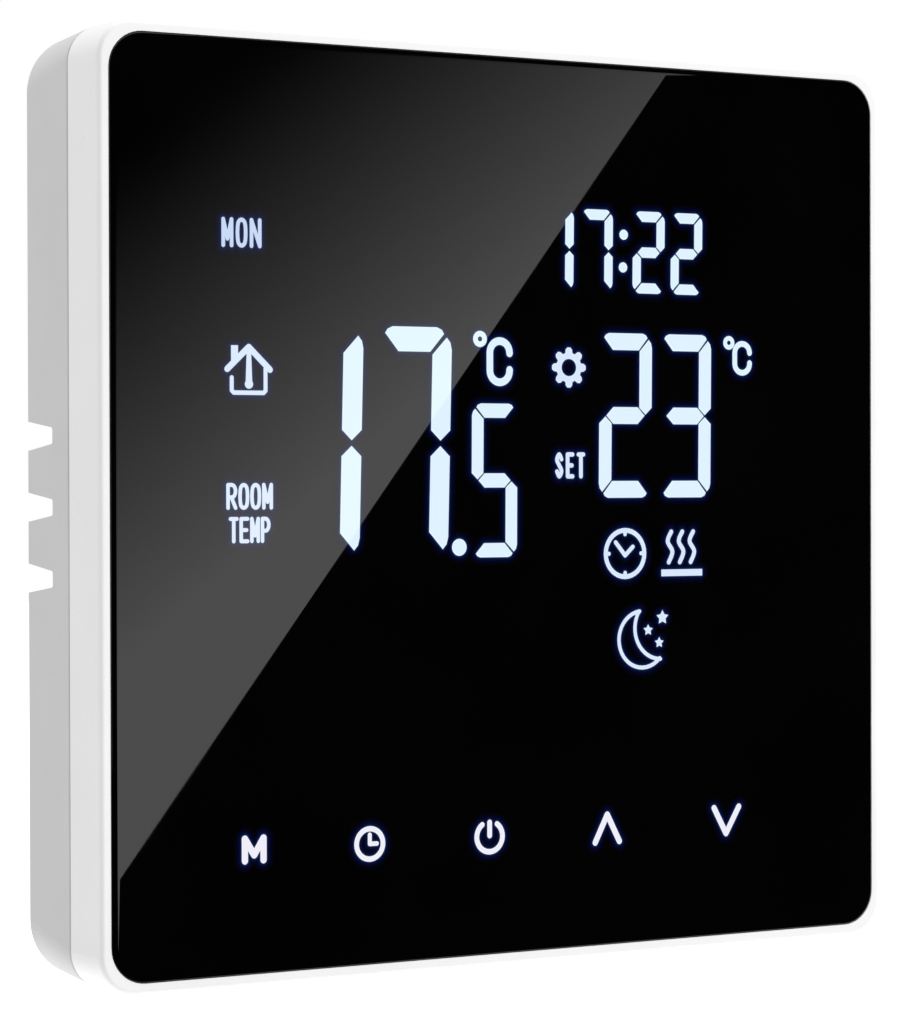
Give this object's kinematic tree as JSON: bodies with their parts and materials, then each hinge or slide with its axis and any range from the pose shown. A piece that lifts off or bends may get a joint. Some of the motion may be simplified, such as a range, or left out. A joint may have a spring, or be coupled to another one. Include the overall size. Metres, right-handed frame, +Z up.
{
  "type": "wall thermostat",
  "caption": "Square wall thermostat with a black glass touch panel and lit display, a white pull-off front unit, a vented base shell and a rear power box with screw terminals.",
  "frame": {"origin": "middle of the mounting plane, halfway between the two wall-screw slots, where the housing meets the wall", "axes": "+Z up as mounted, +X to the right of a person facing the panel, +Y into the wall; the glass faces -Y"},
  "size_m": [0.086, 0.0418, 0.086],
  "materials": {
    "black_glass": "polished, black printed",
    "gasket_tape": "matt",
    "frame_plastic": "satin moulded",
    "shell_plastic": "fine moulded texture",
    "lit_figures": "lit display figures",
    "lcd_glass": "polished",
    "tinned_pins": "tinned",
    "clear_acrylic": "clear acrylic",
    "reflector_plastic": "matt white",
    "white_lamp": "lamp with resin top",
    "pad_foam": "conductive foam",
    "board_green": "solder resist",
    "chip_black": "moulded",
    "steel_can": "drawn can",
    "sensor_bead": "resin bead",
    "header_black": "moulded",
    "gold_pins": "plated",
    "zinc_steel": "zinc plated",
    "screw_steel": "bright zinc",
    "spring_steel": "rolled",
    "box_plastic": "moulded",
    "relay_blue": "moulded",
    "relay_black": "moulded",
    "copper_wire": "enamelled wire",
    "soft_iron": "plated iron",
    "contact_copper": "copper alloy",
    "ferrite": "sintered",
    "coil_tape": "tape over the winding",
    "capacitor_sleeve": "shrunk sleeve",
    "capacitor_box": "cast box",
    "varistor_blue": "dipped",
    "fuse_brown": "moulded",
    "terminal_grey": "moulded",
    "terminal_brass": "tinned brass"
  },
  "bodies": {
    "base": {"base_shell": "shell_plastic", "mounting_plate": "zinc_steel", "mounting_plate_screws": "screw_steel", "catch_springs": "spring_steel", "power_box": "box_plastic", "power_box_screws": "screw_steel", "power_board": "board_green", "header_socket": "header_black", "relay_base": "relay_black", "relay_coil": "copper_wire", "relay_core": "soft_iron", "relay_yoke": "soft_iron", "relay_fixed_contact": "contact_copper", "relay_case": "relay_blue", "transformer_core": "ferrite", "transformer_winding": "coil_tape", "input_capacitor": "capacitor_sleeve", "output_capacitor": "capacitor_sleeve", "line_capacitor": "capacitor_box", "varistor": "varistor_blue", "fuse": "fuse_brown", "rectifier": "chip_black", "terminal_block": "terminal_grey", "terminal_bars": "terminal_brass"},
    "front_unit": {"glass_panel": "black_glass", "panel_adhesive": "gasket_tape", "front_frame": "frame_plastic", "lcd_cell": "lcd_glass", "lcd_pins": "tinned_pins", "backlight_diffuser": "lit_figures", "backlight_light_guide": "clear_acrylic", "backlight_tray": "reflector_plastic", "backlight_leds": "white_lamp", "key_light_guide": "reflector_plastic", "touch_pads": "pad_foam", "key_leds": "white_lamp", "main_board": "board_green", "microcontroller": "chip_black", "touch_controller": "chip_black", "clock_crystal": "steel_can", "backup_cell": "steel_can", "room_sensor": "sensor_bead", "header_strip": "header_black", "header_pins": "gold_pins", "rear_cover": "shell_plastic", "rear_cover_screws": "screw_steel"},
    "relay_armature": {"relay_armature": "soft_iron"},
    "terminal_screw_1": {"terminal_screw_1": "screw_steel"},
    "terminal_clamp_1": {"terminal_clamp_1": "zinc_steel"},
    "terminal_screw_2": {"terminal_screw_2": "screw_steel"},
    "terminal_clamp_2": {"terminal_clamp_2": "zinc_steel"},
    "terminal_screw_3": {"terminal_screw_3": "screw_steel"},
    "terminal_clamp_3": {"terminal_clamp_3": "zinc_steel"},
    "terminal_screw_4": {"terminal_screw_4": "screw_steel"},
    "terminal_clamp_4": {"terminal_clamp_4": "zinc_steel"},
    "terminal_screw_5": {"terminal_screw_5": "screw_steel"},
    "terminal_clamp_5": {"terminal_clamp_5": "zinc_steel"},
    "terminal_screw_6": {"terminal_screw_6": "screw_steel"},
    "terminal_clamp_6": {"terminal_clamp_6": "zinc_steel"}
  },
  "joints": [
    {"name": "front_unit_pull_off", "type": "slide", "parent": "base", "child": "front_unit", "axis": [0, -1, 0], "range_m": [0, 0.03]},
    {"name": "relay_armature_tilt", "type": "hinge", "parent": "base", "child": "relay_armature", "pos_m": [-0.0071, 0.0167, -0.0015], "axis": [0, 0, 1], "range_deg": [0, 2.5], "stiffness_Nm_per_rad": 0.03},
    {"name": "terminal_screw_1_turn", "type": "hinge", "parent": "base", "child": "terminal_screw_1", "pos_m": [-0.01875, 0.0239, -0.0174], "axis": [0, -1, 0], "range_deg": [0, 2160]},
    {"name": "terminal_clamp_1_rise", "type": "slide", "parent": "base", "child": "terminal_clamp_1", "axis": [0, 1, 0], "range_m": [0, 0.003]},
    {"name": "terminal_screw_2_turn", "type": "hinge", "parent": "base", "child": "terminal_screw_2", "pos_m": [-0.01125, 0.0239, -0.0174], "axis": [0, -1, 0], "range_deg": [0, 2160]},
    {"name": "terminal_clamp_2_rise", "type": "slide", "parent": "base", "child": "terminal_clamp_2", "axis": [0, 1, 0], "range_m": [0, 0.003]},
    {"name": "terminal_screw_3_turn", "type": "hinge", "parent": "base", "child": "terminal_screw_3", "pos_m": [-0.00375, 0.0239, -0.0174], "axis": [0, -1, 0], "range_deg": [0, 2160]},
    {"name": "terminal_clamp_3_rise", "type": "slide", "parent": "base", "child": "terminal_clamp_3", "axis": [0, 1, 0], "range_m": [0, 0.003]},
    {"name": "terminal_screw_4_turn", "type": "hinge", "parent": "base", "child": "terminal_screw_4", "pos_m": [0.00375, 0.0239, -0.0174], "axis": [0, -1, 0], "range_deg": [0, 2160]},
    {"name": "terminal_clamp_4_rise", "type": "slide", "parent": "base", "child": "terminal_clamp_4", "axis": [0, 1, 0], "range_m": [0, 0.003]},
    {"name": "terminal_screw_5_turn", "type": "hinge", "parent": "base", "child": "terminal_screw_5", "pos_m": [0.01125, 0.0239, -0.0174], "axis": [0, -1, 0], "range_deg": [0, 2160]},
    {"name": "terminal_clamp_5_rise", "type": "slide", "parent": "base", "child": "terminal_clamp_5", "axis": [0, 1, 0], "range_m": [0, 0.003]},
    {"name": "terminal_screw_6_turn", "type": "hinge", "parent": "base", "child": "terminal_screw_6", "pos_m": [0.01875, 0.0239, -0.0174], "axis": [0, -1, 0], "range_deg": [0, 2160]},
    {"name": "terminal_clamp_6_rise", "type": "slide", "parent": "base", "child": "terminal_clamp_6", "axis": [0, 1, 0], "range_m": [0, 0.003]}
  ],
  "couplings": [
    {"joint": "terminal_screw_1_turn", "follows": "terminal_clamp_1_rise", "rad_per_m": 12565},
    {"joint": "terminal_screw_2_turn", "follows": "terminal_clamp_2_rise", "rad_per_m": 12565},
    {"joint": "terminal_screw_3_turn", "follows": "terminal_clamp_3_rise", "rad_per_m": 12565},
    {"joint": "terminal_screw_4_turn", "follows": "terminal_clamp_4_rise", "rad_per_m": 12565},
    {"joint": "terminal_screw_5_turn", "follows": "terminal_clamp_5_rise", "rad_per_m": 12565},
    {"joint": "terminal_screw_6_turn", "follows": "terminal_clamp_6_rise", "rad_per_m": 12565}
  ]
}
